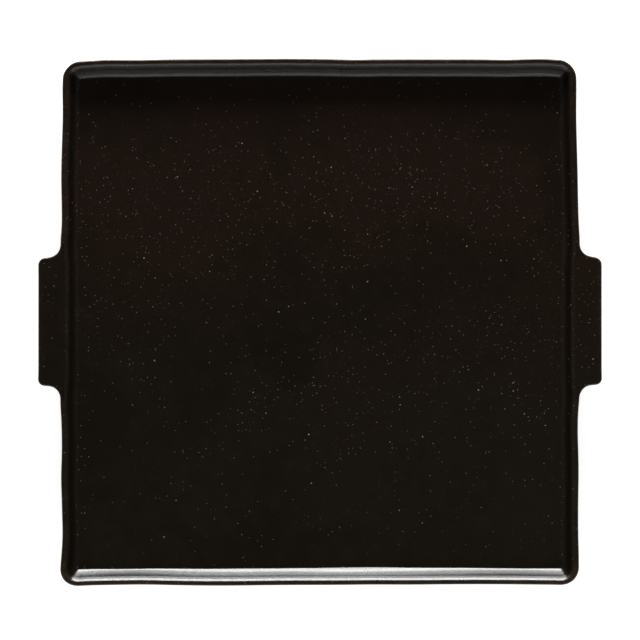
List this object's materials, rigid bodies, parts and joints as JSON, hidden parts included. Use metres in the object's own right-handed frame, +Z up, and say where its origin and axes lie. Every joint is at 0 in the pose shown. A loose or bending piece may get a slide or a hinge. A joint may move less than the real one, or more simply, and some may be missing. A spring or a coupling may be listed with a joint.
{
  "type": "serving platter",
  "caption": "Square stoneware serving platter with a low flared rim, rounded corners, a foot ring and a flat tab handle on each side, flush with the rim.",
  "frame": {"origin": "on the table, under the middle of the platter", "axes": "+X from handle to handle, +Y towards the back, +Z up out of the well"},
  "size_m": [0.3, 0.28, 0.0197],
  "materials": {
    "glaze": "satin, finely speckled",
    "bare_clay": "matte, unglazed"
  },
  "bodies": {
    "root": {"floor_slab": "glaze", "wall_right": "glaze", "wall_back": "glaze", "wall_left": "glaze", "wall_front": "glaze", "foot_right": "bare_clay", "foot_back": "bare_clay", "foot_left": "bare_clay", "foot_front": "bare_clay", "handle_left": "glaze", "handle_right": "glaze"}
  },
  "joints": []
}
